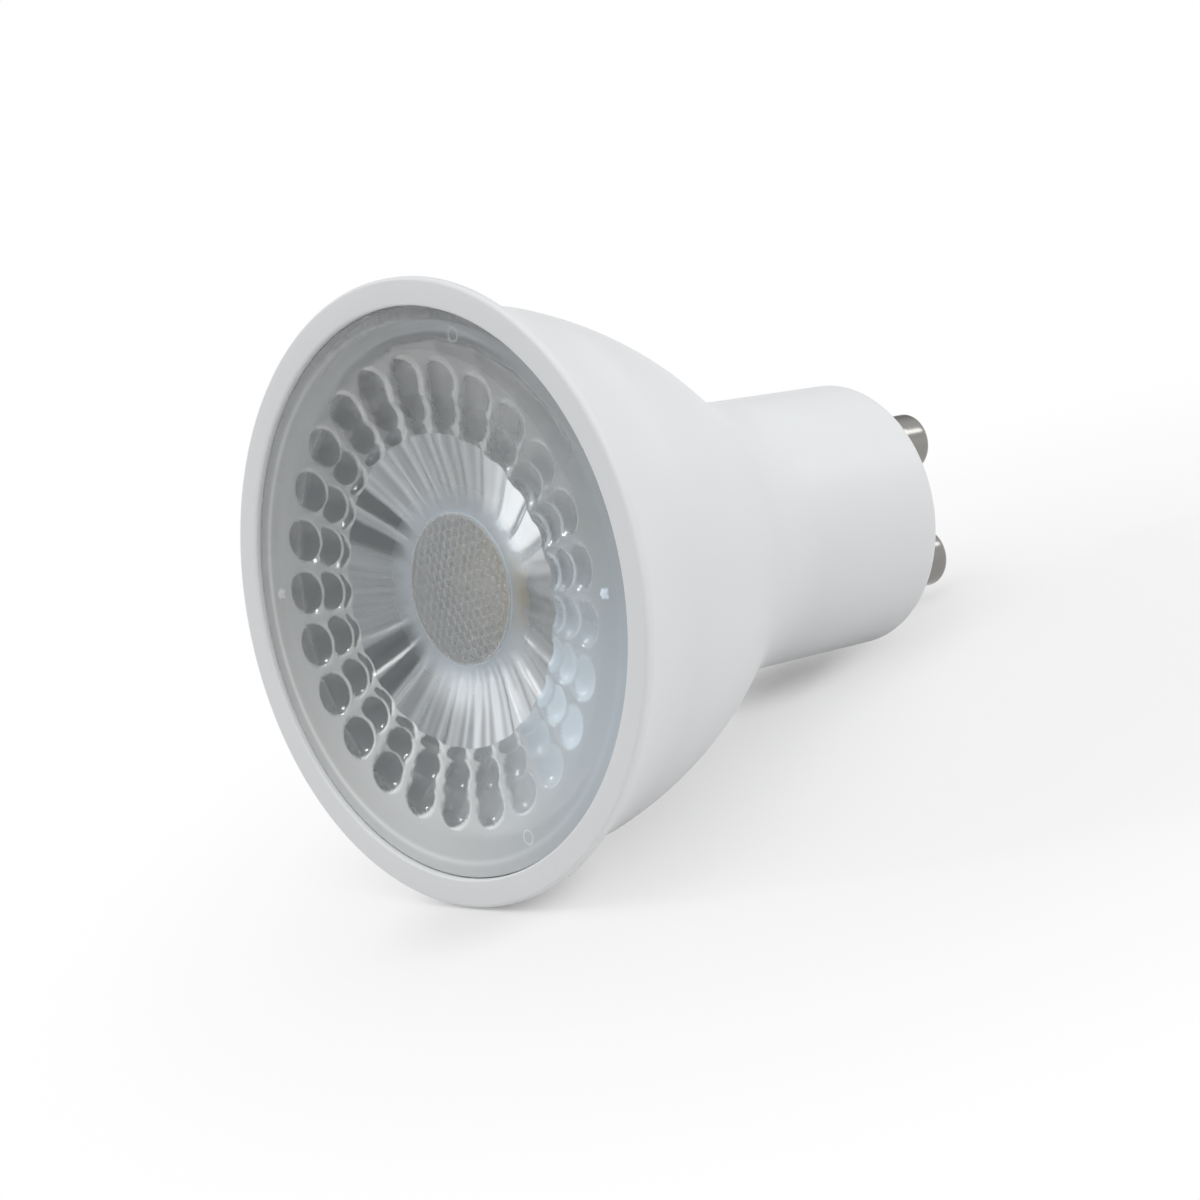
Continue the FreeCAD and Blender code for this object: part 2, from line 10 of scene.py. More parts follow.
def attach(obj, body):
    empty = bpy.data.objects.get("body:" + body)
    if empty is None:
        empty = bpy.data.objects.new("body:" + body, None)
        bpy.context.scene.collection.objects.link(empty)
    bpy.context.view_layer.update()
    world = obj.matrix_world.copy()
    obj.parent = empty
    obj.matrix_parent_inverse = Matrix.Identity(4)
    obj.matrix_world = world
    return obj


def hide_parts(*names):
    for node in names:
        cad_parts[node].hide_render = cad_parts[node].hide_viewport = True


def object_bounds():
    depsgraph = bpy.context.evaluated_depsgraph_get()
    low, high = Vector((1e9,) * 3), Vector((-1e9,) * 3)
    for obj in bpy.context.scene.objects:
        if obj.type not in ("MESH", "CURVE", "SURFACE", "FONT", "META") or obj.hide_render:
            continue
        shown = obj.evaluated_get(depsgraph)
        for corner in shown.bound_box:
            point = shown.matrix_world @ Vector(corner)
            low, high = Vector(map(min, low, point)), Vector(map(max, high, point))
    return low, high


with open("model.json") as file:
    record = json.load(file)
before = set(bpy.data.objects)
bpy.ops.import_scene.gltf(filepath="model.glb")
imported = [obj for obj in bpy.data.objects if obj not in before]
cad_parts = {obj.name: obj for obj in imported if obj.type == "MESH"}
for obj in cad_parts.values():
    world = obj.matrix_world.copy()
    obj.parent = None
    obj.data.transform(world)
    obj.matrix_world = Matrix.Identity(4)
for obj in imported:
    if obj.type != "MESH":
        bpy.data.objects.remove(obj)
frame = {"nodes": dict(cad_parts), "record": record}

bl_info = {
    "name": "Spotlight bulb",
    "version": (1, 0, 0),
    "blender": (4, 5, 0),
    "location": "View3D > Sidebar > Bulb",
    "description": "Dresses the packed spotlight bulb: housing, lens, pins, inner parts and stage",
    "category": "Object",
}

MM = 0.001
CAD_BOX = [list(corner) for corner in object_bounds()]
FLOOR_LEVEL = CAD_BOX[0][2]

# The lamp's own directions, from the mount between its pin heads: along the axis towards the pins,
# across to the far side, and up from the axis as the lamp lies.
ALONG = np.array(frame["record"]["mounts"][0]["axis"])
ACROSS = np.array((-1.0, 0.0, 0.0))
UPWARD = np.cross(ALONG, ACROSS)

# Depth of the frame's origin, midway between the pin heads, behind the rim's front.
HEAD_MIDDLE = 53.5 * MM

# Edges at which the surface turns by more than this stay sharp.
SHARP_DEGREES = 35.0


def length(name, description, millimetres):
    """A length property, shown in the scene's unit."""
    return FloatProperty(name=name, description=description, default=millimetres * MM, unit="LENGTH",
                         precision=5)


def colour(name, description, rgb):
    """A colour property."""
    return FloatVectorProperty(name=name, description=description, default=rgb, subtype="COLOR",
                               min=0.0, max=1.0)


def share(name, description, value):
    """A property between 0 and 1."""
    return FloatProperty(name=name, description=description, default=value, subtype="FACTOR",
                         min=0.0, max=1.0)


def angle(name, description, degrees):
    """An angle property."""
    return FloatProperty(name=name, description=description, default=math.radians(degrees),
                         subtype="ANGLE")


class HousingSizes(bpy.types.PropertyGroup):
    """Radii from the lamp's axis and depths behind the rim's front."""
    rim_radius: length("Rim radius", "Outer radius of the rim", 24.985)
    rim_land: length("Rim land", "Straight side of the rim", 0.7)
    rim_round: length("Rim round", "Rounding of the rim's front edges", 0.3)
    mouth_radius: length("Mouth radius", "Inner radius of the rim", 22.73)
    bell_wall: length("Bell wall", "Thickness of the bell's wall", 1.9)
    waist_depth: length("Waist depth", "Depth where the bell's line meets the neck's", 28.3)
    waist_blend: length("Waist blend", "Radius of the curve between bell and neck", 14.0)
    neck_waist_radius: length("Neck waist radius", "Radius of the neck at its front", 11.35)
    neck_end_radius: length("Neck end radius", "Radius of the neck at its back", 11.09)
    neck_wall: length("Neck wall", "Thickness of the neck's wall", 1.65)
    cap_depth: length("Cap depth", "Depth of the cap's flat face", 47.7)
    cap_bevel: length("Cap bevel", "Width of the bevel round the cap's face", 2.3)
    cap_round: length("Cap round", "Rounding between neck and bevel", 0.8)
    cap_wall: length("Cap wall", "Thickness of the cap's face", 1.7)
    flare_radius: length("Flare radius", "Radius in the middle of the flare", 23.2)
    flare_depth: length("Flare depth", "Depth of the middle of the flare", 4.0)
    bell_top_radius: length("Bell top radius", "Radius where the flare meets the bell", 21.75)
    bell_top_depth: length("Bell top depth", "Depth where the flare meets the bell", 9.0)
    bell_middle_radius: length("Bell middle radius", "Radius in the middle of the bell", 19.24)
    bell_middle_depth: length("Bell middle depth", "Depth of the middle of the bell", 16.0)
    bell_end_radius: length("Bell end radius", "Radius where the bell turns into its waist", 15.75)
    bell_end_depth: length("Bell end depth", "Depth where the bell turns into its waist", 22.0)
    seat_depth: length("Seat depth", "Depth of the ledge behind the lens", 3.15)
    seat_radius: length("Seat radius", "Inner radius of the ledge behind the lens", 21.68)
    cup_depth: length("Cup depth", "Depth of the step behind the cup", 16.3)
    cup_step: length("Cup step", "Width of that step", 1.2)
    edge_round: length("Edge round", "Rounding of the small edges", 0.25)


class LensSizes(bpy.types.PropertyGroup):
    """Sizes of the clear lens."""
    radius: length("Radius", "Outer radius of the lens", 22.66)
    recess: length("Recess", "Depth of the lens's front behind the rim", 0.5)
    plate: length("Plate", "Thickness of the outer plate", 2.65)
    petals: IntProperty(name="Petals", description="Number of petals", default=25, min=3)
    petal_phase: angle("Petal phase", "Turn of the first petal from the far side", 0.4)
    outer_circle: length("Outer circle", "Radius where the outer dishes are centred", 16.6)
    outer_ball: length("Outer ball", "Radius of an outer dish's ball", 4.0)
    outer_depth: length("Outer depth", "Depth of an outer dish", 0.5)
    inner_circle: length("Inner circle", "Radius where the inner dishes are centred", 14.1)
    inner_ball: length("Inner ball", "Radius of an inner dish's ball", 3.3)
    inner_depth: length("Inner depth", "Depth of an inner dish", 0.5)
    waist_round: length("Waist round", "Softness between a petal's two dishes", 0.12)
    ridge_round: length("Ridge round", "Softness of the ridges between the dishes", 0.05)
    well_mouth: length("Well mouth", "Radius of the well at the front", 12.6)
    well_floor: length("Well floor", "Radius of the well at its floor", 7.2)
    well_depth: length("Well depth", "Depth of the well", 2.6)
    slope_start: length("Slope start", "Radius where the plate begins to fall", 19.4)
    mouth_drop: length("Mouth drop", "Depth of the well's mouth below the plate", 1.1)
    flute_radius: length("Flute radius", "Radius of the well wall's flutes", 2.0)
    flute_depth: length("Flute depth", "Depth of the well wall's flutes", 0.3)
    pad_radius: length("Pad radius", "Radius of the pad in the well", 6.1)
    pad_rise: length("Pad rise", "Height of the pad above the well's floor", 0.25)
    shoulder: length("Shoulder", "Radius of the cone behind the plate", 19.98)
    foot_radius: length("Foot radius", "Radius of the cone at its foot", 8.6)
    foot_depth: length("Foot depth", "Depth of the cone's foot", 12.4)
    cone_bulge: length("Cone bulge", "How far the cone's side stands off a straight line", 1.1)
    cavity_radius: length("Cavity radius", "Radius of the cavity at the foot", 7.3)
    cavity_top: length("Cavity top", "Radius of the cavity at its roof", 6.2)
    cavity_roof: length("Cavity roof", "Thickness between pad and cavity", 3.6)
    cavity_dome: length("Cavity dome", "Rise of the cavity's domed roof", 0.8)
    edge_frost: share("Edge frost", "Roughness of the plate's edge and back", 0.45)
    cone_frost: share("Cone frost", "Roughness of the cone behind", 0.3)
    cavity_frost: share("Cavity frost", "Roughness of the cavity over the LED", 0.35)
    # Level of the plate's milkiness, which the lens's paint raises with painted light.
    haze: share("Haze", "Milkiness of the satin plate", 0.39)
    band_width: length("Band width", "Width over which streaks rise round the pad", 2.6)
    # The lit side and lit width place the painted highlight on the dishes' edges.
    lit_side: angle("Lit side", "Turn of the side where dishes' edges are lit", 150.0)
    lit_width: length("Lit width", "Width of the lit edge of a dish", 0.42)
    ledge_line: length("Ledge line", "Radius where the housing's ledge shows", 21.5)
    mark_radius: length("Mark radius", "Radius of the two ejector marks", 0.55)
    pad_haze: share("Pad haze", "Milkiness of the pad", 0.22)
    bead_pitch: length("Bead pitch", "Distance between the pad's beads", 0.85)
    bead_height: length("Bead height", "Height of the pad's beads, per wave", 0.025)
    fillet: length("Fillet", "Rounding between the plate's back and the cone", 0.9)
    fillet_gap: length("Fillet gap", "Gap between the shoulder and the plate's flat back", 1.2)
    edge_round: length("Edge round", "Width of the bevels on the plate's edge", 0.06)
    nub_circle: length("Nub circle", "Radius where the two nubs stand", 20.1)
    nub_radius: length("Nub radius", "Radius of a nub", 0.45)
    nub_height: length("Nub height", "Height of a nub", 0.3)


class PinSizes(bpy.types.PropertyGroup):
    """Sizes of the two contact pins."""
    spacing: length("Spacing", "Distance between the pins", 10.0)
    turn: angle("Turn", "Turn of the pins' line from the far side", 86.0)
    reach: length("Reach", "Length of a pin behind the cap's face", 7.3)
    head_radius: length("Head radius", "Radius of a pin's head", 2.5)
    head_length: length("Head length", "Length of a pin's head", 3.0)
    head_round: length("Head round", "Rounding of the head's end", 0.7)
    shoulder_round: length("Shoulder round", "Rounding of the head's back edge", 0.25)
    neck_radius: length("Neck radius", "Radius of a pin's neck", 1.55)
    collar_radius: length("Collar radius", "Radius of the collar inside the cap", 2.2)
    collar: length("Collar", "Thickness of the collar", 0.7)
    stub_radius: length("Stub radius", "Radius of the stub that takes the wire", 0.9)
    stub: length("Stub", "Length of the stub", 0.8)


class Finishes(bpy.types.PropertyGroup):
    """Colours of the lamp's materials."""
    housing: colour("Housing", "White moulded plastic", (0.8, 0.81, 0.82))
    lens: colour("Lens", "Clear plastic", (0.95, 0.97, 0.98))
    satin: colour("Satin", "Satin ground of the lens's plate", (0.805, 0.82, 0.82))
    ribs: colour("Ribs", "Ribs that shine in the lens's well", (0.9, 0.935, 0.965))
    # Painted cool light: the tint of the lens's veil on the plate's near side, in the dishes there
    # and in the band round the pad.
    sky: colour("Sky", "Cool light in the lens's near side", (0.8, 0.91, 1.0))
    cup: colour("Cup", "Drawn aluminium", (0.7, 0.715, 0.73))
    nickel: colour("Nickel", "Plated pins", (0.3, 0.29, 0.275))
    floor: colour("Floor", "Pale table", (0.8, 0.795, 0.79))


class BulbSettings(bpy.types.PropertyGroup):
    """Everything that the bulb's operators read."""
    housing: PointerProperty(type=HousingSizes)
    lens: PointerProperty(type=LensSizes)
    pins: PointerProperty(type=PinSizes)
    finishes: PointerProperty(type=Finishes)


# Surfaces
def lamp_points(radius, turn, depth):
    """Places on the lamp: (depth - depth of the origin) along the axis, plus radius times
    (cosine of turn across + sine of turn upward)."""
    radius, turn, depth = np.broadcast_arrays(radius, turn, depth)
    out = (depth - HEAD_MIDDLE)[..., None] * ALONG
    out = out + (radius * np.cos(turn))[..., None] * ACROSS
    return out + (radius * np.sin(turn))[..., None] * UPWARD


def arc_through(start, middle, end, count):
    """Points from start to end on the circle through three points: its centre solves the two
    perpendicular bisectors, and the angle runs evenly past the middle point."""
    a, b, c = np.array((start, middle, end), float)
    sides = 2 * np.array((b - a, c - a))
    centre = np.linalg.solve(sides, np.array((b @ b - a @ a, c @ c - a @ a)))
    angles = np.array([math.atan2(*(p - centre)[::-1]) for p in (a, b, c)])
    sweep = (angles[2] - angles[0]) % (2 * math.pi)
    if (angles[1] - angles[0]) % (2 * math.pi) > sweep:
        sweep -= 2 * math.pi
    steps = angles[0] + sweep * np.linspace(0, 1, count)
    reach = np.linalg.norm(a - centre)
    return centre + reach * np.column_stack((np.cos(steps), np.sin(steps)))


def unit(vector):
    """The vector's direction, at length 1."""
    return vector / np.linalg.norm(vector)


def rounded_corner(before, corner, after, radius, count):
    """Points on an arc that rounds a corner. It touches the sides at radius / tan(half the angle)."""
    before, corner, after = np.array((before, corner, after), float)
    to_before, to_after = unit(before - corner), unit(after - corner)
    half = math.acos(to_before @ to_after) / 2
    inward = unit(to_before + to_after)
    reach = radius / math.tan(half)
    middle = corner + inward * (radius / math.sin(half) - radius)
    return arc_through(corner + to_before * reach, middle, corner + to_after * reach, count)


def bulged(start, end, bulge, count):
    """Points from start to end on an arc whose middle stands off the straight line by the bulge."""
    start, end = np.array((start, end), float)
    along = unit(end - start)
    middle = (start + end) / 2 + bulge * np.array((along[1], -along[0]))
    return arc_through(start, middle, end, count)


def run(*pieces):
    """One profile from points and rows of points, with points that repeat left out."""
    rows = np.vstack([np.atleast_2d(np.array(piece, float)) for piece in pieces])
    keep = np.ones(len(rows), bool)
    keep[1:] = np.linalg.norm(np.diff(rows, axis=0), axis=1) > 1e-7
    return rows[keep]


def densified(profile, step):
    """The profile with points added on its long straight stretches, about a step apart."""
    gaps = np.linalg.norm(np.diff(profile, axis=0), axis=1)
    parts = np.maximum(1, np.ceil(gaps / step).astype(int))
    index = np.arange(len(profile))
    places = np.concatenate([i + np.arange(n) / n for i, n in enumerate(parts)] + [index[-1:]])
    return np.column_stack([np.interp(places, index, profile[:, k]) for k in range(2)])


def add_mesh(name, points, faces, sharp_degrees=SHARP_DEGREES):
    """A mesh object of points and faces, smooth shaded, with edges past an angle kept sharp."""
    mesh = bpy.data.meshes.new(name)
    mesh.from_pydata(points.reshape(-1, 3), [], faces)
    mesh.polygons.foreach_set("use_smooth", np.ones(len(mesh.polygons), bool))
    mesh.set_sharp_from_angle(angle=math.radians(sharp_degrees))
    mesh.update()
    piece = bpy.data.objects.new(name, mesh)
    bpy.context.scene.collection.objects.link(piece)
    return piece


def ring_faces(rings, turns):
    """Quads between neighbouring rings of points, closed round the turn."""
    start = np.arange(rings - 1)[:, None] * turns
    here = np.arange(turns)[None, :]
    there = (here + 1) % turns
    onward = start + turns
    quads = np.stack((start + here, onward + here, onward + there, start + there), axis=-1)
    return quads.reshape(-1, 4)


def closed_rings(name, rings, start_pole, end_pole, sharp_degrees=SHARP_DEGREES, paint=None):
    """A closed surface from rings of points, with a fan of triangles to a pole at each end. Rings
    that run the other way give a negative volume (the sum of a . (b x c) over the faces), and are
    turned round so that every face points outwards. Paint is a value per point under a name, and a
    pole takes the mean of its ring."""
    count, turns = rings.shape[:2]
    paint = paint or {}
    here, onward = rings[:-1], rings[1:]
    aside = np.roll(here, -1, axis=1)
    across = np.cross(onward - start_pole, aside - start_pole)
    if np.einsum("ijk,ijk->", here - start_pole, across) < 0:
        rings = rings[::-1]
        start_pole, end_pole = end_pole, start_pole
        paint = {key: values[::-1] for key, values in paint.items()}
    points = np.vstack((rings.reshape(-1, 3), start_pole, end_pole))
    here = np.arange(turns)
    there = (here + 1) % turns
    last = (count - 1) * turns
    start_fan = np.column_stack((np.full(turns, count * turns), here, there))
    end_fan = np.column_stack((np.full(turns, count * turns + 1), last + there, last + here))
    faces = ring_faces(count, turns).tolist() + start_fan.tolist() + end_fan.tolist()
    piece = add_mesh(name, points, faces, sharp_degrees)
    for key, values in paint.items():
        layer = piece.data.attributes.new(key, "FLOAT", "POINT")
        at_poles = [values[0].mean(), values[-1].mean()]
        layer.data.foreach_set("value", np.concatenate((values.ravel(), at_poles)))
    return piece


def turned(name, profile, turns, shift=(0.0, 0.0, 0.0)):
    """A profile of (radius, depth) points from pole to pole, turned about the lamp's axis, or about
    a parallel axis moved sideways by a vector."""
    around = 2 * math.pi * np.arange(turns) / turns
    inner = profile[1:-1]
    rings = lamp_points(inner[:, :1], around[None, :], inner[:, 1:])
    poles = lamp_points(0.0, 0.0, profile[[0, -1], 1])
    return closed_rings(name, rings + shift, poles[0] + shift, poles[1] + shift)


# Shader trees
class Wire:
    """An output socket with arithmetic: an expression on values adds its Math nodes."""

    def __init__(self, tree, socket):
        self.tree = tree
        self.socket = socket

    def node(self, kind, sockets=None, output=0, **settings):
        """Any node: its settings first, then the values or links of its sockets."""
        return grow(self.tree, kind, sockets, output, **settings)

    def math(self, operation, *values):
        """A Math node on the given values, or on this one alone."""
        return self.node("ShaderNodeMath", dict(enumerate(values or (self,))), operation=operation)

    def __add__(self, other):
        return self.math("ADD", self, other)

    __radd__ = __add__

    def __sub__(self, other):
        return self.math("SUBTRACT", self, other)

    def __rsub__(self, other):
        return self.math("SUBTRACT", other, self)

    def __mul__(self, other):
        return self.math("MULTIPLY", self, other)

    __rmul__ = __mul__

    def __truediv__(self, other):
        return self.math("DIVIDE", self, other)

    def __rtruediv__(self, other):
        return self.math("DIVIDE", other, self)

    def __pow__(self, other):
        return self.math("POWER", self, other)

    def along(self, direction):
        """How far a vector reaches along a direction."""
        return self.node("ShaderNodeVectorMath", {0: self, 1: tuple(direction)}, output="Value",
                         operation="DOT_PRODUCT")

    def distance(self, place):
        """How far a vector ends from a place."""
        return self.node("ShaderNodeVectorMath", {0: self, 1: tuple(place)}, output="Value",
                         operation="DISTANCE")

    def below(self, edge, soft):
        """1 under an edge, 0 above it, with a soft step between."""
        sockets = {"Value": self, "From Min": edge - soft, "From Max": edge + soft,
                   "To Min": 1.0, "To Max": 0.0}
        return self.node("ShaderNodeMapRange", sockets, interpolation_type="SMOOTHSTEP")


def grow(tree, kind, sockets=None, output=0, **settings):
    """Adds a node to a tree, sets it up, fills its sockets and returns one output."""
    made = tree.nodes.new(kind)
    for key, value in settings.items():
        setattr(made, key, value)
    for key, value in (sockets or {}).items():
        if isinstance(value, Wire):
            tree.links.new(value.socket, made.inputs[key])
        else:
            made.inputs[key].default_value = value
    return Wire(tree, made.outputs[output])


def mix_colour(factor, first, second):
    """A colour between two colours, by a factor."""
    ends = [end if isinstance(end, Wire) else (*end, 1.0) for end in (first, second)]
    return factor.node("ShaderNodeMix", {0: factor, 6: ends[0], 7: ends[1]}, output=2,
                       data_type="RGBA")


class Surface:
    """A material with one Principled shader, whose constants are set on its own sockets."""

    def __init__(self, name, **constants):
        self.material = bpy.data.materials.new(name)
        self.material.use_nodes = True
        self.tree = self.material.node_tree
        self.shader = self.tree.nodes["Principled BSDF"]
        for key, value in constants.items():
            self.feed(key.replace("_", " "), value)

    def feed(self, socket, value):
        """Sets a socket of the shader, or links it."""
        if isinstance(value, Wire):
            self.tree.links.new(value.socket, self.shader.inputs[socket])
        else:
            self.shader.inputs[socket].default_value = value

    def place(self):
        """Where a point of the surface is, in the lamp's frame."""
        return grow(self.tree, "ShaderNodeTexCoord", output="Object")

    def noise(self, scale, detail, stretch=(1.0, 1.0, 1.0)):
        """A cloudy value about one half, at a scale per metre."""
        place = grow(self.tree, "ShaderNodeMapping", {"Vector": self.place(), "Scale": stretch})
        return grow(self.tree, "ShaderNodeTexNoise",
                    {"Vector": place, "Scale": scale, "Detail": detail}, output="Fac")

    def painted(self, name):
        """A value that the mesh carries at its points."""
        return grow(self.tree, "ShaderNodeAttribute", output="Fac", attribute_name=name)

    def veil(self, factor, kind, sockets):
        """Lays another shader over this one, by a factor."""
        bare = Wire(self.tree, self.shader.outputs[0])
        over = grow(self.tree, kind, sockets)
        mixed = grow(self.tree, "ShaderNodeMixShader", {0: factor, 1: bare, 2: over})
        self.tree.links.new(mixed.socket, self.tree.nodes["Material Output"].inputs["Surface"])

    def vary(self, factor, rgb, darker, lighter):
        """Feeds the shader a colour between a darker and a lighter one, by a factor."""
        self.feed("Base Color", mix_colour(factor, scaled(rgb, darker), scaled(rgb, lighter)))

    def bump(self, height, distance, strength=1.0):
        """Roughens the surface by a height value, over a distance in metres."""
        self.feed("Normal", grow(self.tree, "ShaderNodeBump",
                                 {"Height": height, "Distance": distance, "Strength": strength}))


def scaled(rgb, factor):
    """A colour made darker or lighter."""
    return tuple(min(1.0, value * factor) for value in rgb)


def dress(piece, finish):
    """Puts one material on a piece."""
    piece.data.materials.clear()
    piece.data.materials.append(finish.material)


def settle(piece, node):
    """A piece that stands for a CAD node: it rides with the lamp, and the node is hidden."""
    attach(piece, "root")
    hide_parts(node)


# Housing
def housing_profile(s):
    """The housing's half section from the cap's outer face over the rim and back inside to the cap's
    inner face: straight lines, rounded corners and the bell's arcs."""
    bevel_start = s.cap_depth - s.cap_bevel
    bevel_corner = (s.neck_end_radius, bevel_start)
    face_edge = (s.neck_end_radius - s.cap_bevel, s.cap_depth)
    bell_top = (s.bell_top_radius, s.bell_top_depth)
    bell_middle = (s.bell_middle_radius, s.bell_middle_depth)
    bell_end = (s.bell_end_radius, s.bell_end_depth)
    waist = (s.neck_waist_radius, s.waist_depth)
    land_end = (s.rim_radius, s.rim_land)
    rim_corner = (s.rim_radius, 0)
    mouth_corner = (s.mouth_radius, 0)
    mouth_end = (s.mouth_radius, s.seat_depth)
    cup_seat = s.bell_middle_radius - s.bell_wall
    neck_bore = s.neck_end_radius - s.neck_wall
    cap_inside = s.cap_depth - s.cap_wall
    return run(
        (0, s.cap_depth),
        rounded_corner((0, s.cap_depth), face_edge, bevel_corner, s.edge_round, 5),
        rounded_corner(face_edge, bevel_corner, waist, s.cap_round, 9),
        rounded_corner(bevel_corner, waist, bell_end, s.waist_blend, 25),
        arc_through(bell_end, bell_middle, bell_top, 31),
        arc_through(bell_top, (s.flare_radius, s.flare_depth), land_end, 25),
        rounded_corner(land_end, rim_corner, mouth_corner, s.rim_round, 7),
        rounded_corner(rim_corner, mouth_corner, mouth_end, s.edge_round, 7),
        mouth_end,
        (s.seat_radius, s.seat_depth),
        (cup_seat, s.cup_depth),
        (cup_seat - s.cup_step, s.cup_depth),
        (neck_bore, s.waist_depth - s.bell_wall),
        (neck_bore, cap_inside),
        (0, cap_inside),
    )


class BULB_OT_housing(bpy.types.Operator):
    """White bell and neck, turned smooth"""
    bl_idname = "bulb.housing"
    bl_label = "Housing"

    def execute(self, context):
        settings = context.scene.bulb
        profile = densified(housing_profile(settings.housing), step=1.2 * MM)
        piece = turned("housing_shell", profile, turns=256)
        finish = Surface("white_moulding", Specular_IOR_Level=0.5)
        cloud = finish.noise(scale=160.0, detail=4.0)
        grain = finish.noise(scale=5200.0, detail=2.0)
        finish.vary(cloud, settings.finishes.housing, 0.985, 1.015)
        finish.feed("Roughness", 0.36 + 0.1 * cloud)
        finish.bump(grain, distance=0.012 * MM, strength=0.25)
        dress(piece, finish)
        settle(piece, "housing")
        return {"FINISHED"}


# Lens
def lens_ground(s, radius):
    """Depth of the lens's front without petals and flutes: a flat plate, a slope down to the well's
    mouth, the well's wall and its floor."""
    return np.interp(radius, (s.well_floor, s.well_mouth, s.slope_start),
                     (s.well_depth, s.mouth_drop, 0.0))


def off_petal(s, turn):
    """How far a turn is from the middle line of the nearest petal."""
    pitch = 2 * math.pi / s.petals
    return (turn - s.petal_phase + pitch / 2) % pitch - pitch / 2


def in_petal(s, radius, turn):
    """Places within the nearest petal: along its middle line, and aside from it."""
    off = off_petal(s, turn)
    return radius * np.cos(off), radius * np.sin(off)


# Directions of the waves that make the pad's beads.
BEAD_TURNS = tuple(math.radians(degrees) for degrees in (20.0, 140.0, 260.0))


def bead_wave(s):
    """Radians per metre that put beads a pitch apart, in rows that are closer by cos(30 degrees)."""
    return 2 * math.pi / (s.bead_pitch * math.sqrt(0.75))


def pad_beads(s, radius, turn):
    """Height of the small beads on the pad: the sum of three cosines at 120 degrees, kept inside the
    pad's edge."""
    wave = bead_wave(s)
    waves = sum(np.cos(wave * radius * np.cos(turn - middle)) for middle in BEAD_TURNS)
    return s.bead_height * np.clip((s.pad_radius - radius) / s.bead_pitch, 0, 1) * waves


# How steep a dish's wall and a nub's side are, and how many reaches off a dish's fall ends.
DISH_POWER = 3.2
DISH_LIMIT = 3.0
NUB_STEEPNESS = 1.6


def lens_front(s, radius, turn):
    """Depth of the lens's front below its plate: the deepest of the ground, the two dishes of the
    nearest petal and a round bar along the well's wall under each petal. A dish is as deep as
    1 - (distance / reach) ** power, so that its floor is flatter than its wall, and dishes meet each
    other and the ground over a soft ridge: half of (a + b + the length of (a - b, softness)). Beads
    cover the pad, and two round nubs stand on the plate."""
    along, aside = in_petal(s, radius, turn)
    ground = lens_ground(s, radius)

    def dish(circle, ball, depth):
        reach = math.sqrt(ball ** 2 - (ball - depth) ** 2)
        away = ((along - circle) ** 2 + aside ** 2) / reach ** 2
        fall = np.minimum(away, DISH_LIMIT ** 2) ** (DISH_POWER / 2)
        return lens_ground(s, circle) + depth * (1 - fall)

    def deeper(first, second, soft):
        return (first + second + np.hypot(first - second, soft)) / 2

    slope = (s.well_depth - s.mouth_drop) / (s.well_mouth - s.well_floor)
    fade = np.sqrt(np.clip((radius - s.well_floor) / s.band_width, 0, 1))
    bar = np.sqrt(np.maximum(s.flute_radius ** 2 - aside ** 2, 0))
    bar = bar - (s.flute_radius - s.flute_depth * fade)
    flute = s.mouth_drop + (s.well_mouth - along) * slope + bar * math.hypot(1, slope)
    in_wall = (bar > 0) & (radius > s.well_floor) & (along < s.well_mouth + s.flute_radius)
    flute = np.where(in_wall, np.minimum(flute, s.well_depth), 0)
    outer = dish(s.outer_circle, s.outer_ball, s.outer_depth)
    inner = dish(s.inner_circle, s.inner_ball, s.inner_depth)
    petal = deeper(deeper(outer, inner, s.waist_round), ground, s.ridge_round)
    depth = np.maximum(np.where(radius > s.well_floor + s.ridge_round, petal, ground), flute)
    pad = s.well_depth - s.pad_rise - pad_beads(s, radius, turn)
    depth = np.where(radius < s.pad_radius, pad, depth)
    nub = np.hypot(radius * np.abs(np.cos(turn)) - s.nub_circle, radius * np.sin(turn))
    return depth - s.nub_height * np.clip(NUB_STEEPNESS * (1 - (nub / s.nub_radius) ** 2), 0, 1)


# Finish of the lens's front, with its painted light. A dish is an ellipse: the circle it is centred
# on, half its length and half its width, in mm. The throat joins a petal's dishes.
DISHES = ((17.35, 1.68, 1.92), (14.75, 1.42, 1.72), (13.1, 0.8, 1.55))
THROAT = (16.05, 1.7, 1.8)
DISH_SOFT = 0.08
JOINED_WIDTH = 1.5

# How a thing shows round the lens: a level, then lobes of (turn, width, strength), in degrees from
# the far side.
JOINED = (0.0, (95, 45, 1.5), (272, 30, 1.5))
# Painted light on the plate: stronger low down and on the near side, weaker at the top.
PLATE_PAINTED_LIGHT = (1.0, (285, 50, 1.0), (205, 28, 0.35), (105, 55, -0.6))
# Painted highlight on the dishes' lit edges: its strength, its turn and its width.
LIT = (0.1, (105, 60, 2.1), (278, 35, 1.0))
LIT_TURN = (0.0, (275, 45, 0.95))
LIT_WIDTH = (0.8, (95, 55, 1.1), (275, 40, 0.4))
# Milkiness of the dishes, plus painted light in those low on the near side.
DISH_MILK_AND_PAINTED_LIGHT = (0.08, (214, 29, 0.75), (266, 26, 0.1), (140, 40, 0.1))
# Painted cool light on the plate's near side.
PLATE_PAINTED_COOL_LIGHT = (0.0, (195, 50, 0.95))
LEDGE = (0.0, (-45, 70, 0.3), (60, 60, 0.12))
NUB = (0.25, (180, 60, 0.7))
# Painted shine on the well's wall, brightest in two lobes, and the contrast of its painted streaks.
PAINTED_SHINE = (0.3, (148, 23, 0.85), (242, 30, 0.54), (-4, 22, -0.03), (50, 24, 0.12), (186, 22, -0.16))
CONTRAST = (0.1, (80, 32, 0.6), (262, 42, 0.75), (0, 50, 0.15))
